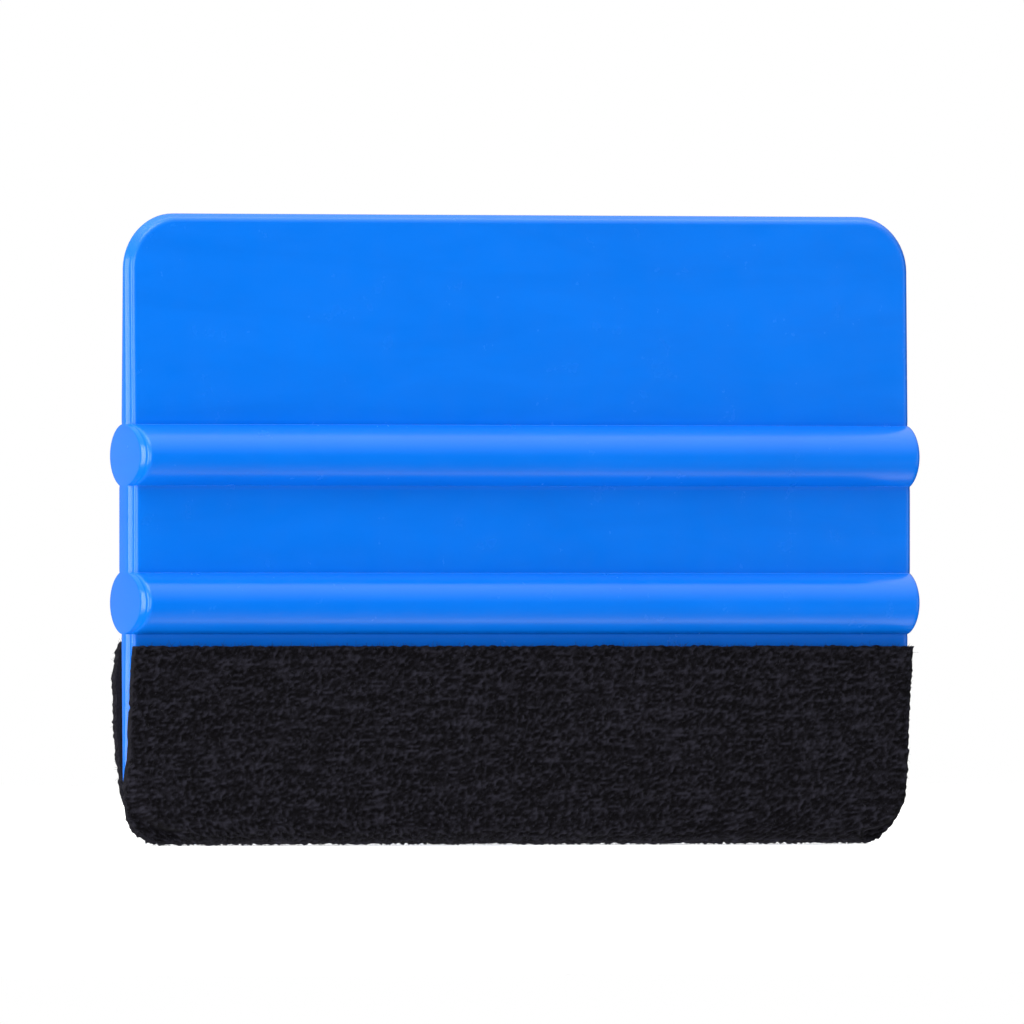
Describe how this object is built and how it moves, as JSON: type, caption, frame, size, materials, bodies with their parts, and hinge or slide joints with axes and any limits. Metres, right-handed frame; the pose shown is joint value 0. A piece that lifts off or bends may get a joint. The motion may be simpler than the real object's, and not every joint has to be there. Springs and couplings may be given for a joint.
{
  "type": "felt-edged hand squeegee applicator",
  "caption": "Flat ribbed plastic hand card with rounded corners and a black felt strip folded over its working edge, for pressing down vinyl film.",
  "frame": {"origin": "centre of the underside of the felt's fold, at the middle of the card's length and thickness", "axes": "+X along the card, +Z from the felt-covered working edge to the bare top edge, and the front face towards -Y"},
  "size_m": [0.1024, 0.0104, 0.0731],
  "materials": {
    "card_plastic": "satin injection-moulded polypropylene",
    "tape": "translucent pressure-sensitive tape",
    "felt": "short brushed pile"
  },
  "bodies": {
    "root": {"card_body": "card_plastic", "adhesive_tape": "tape", "felt_wrap": "felt"}
  },
  "joints": []
}
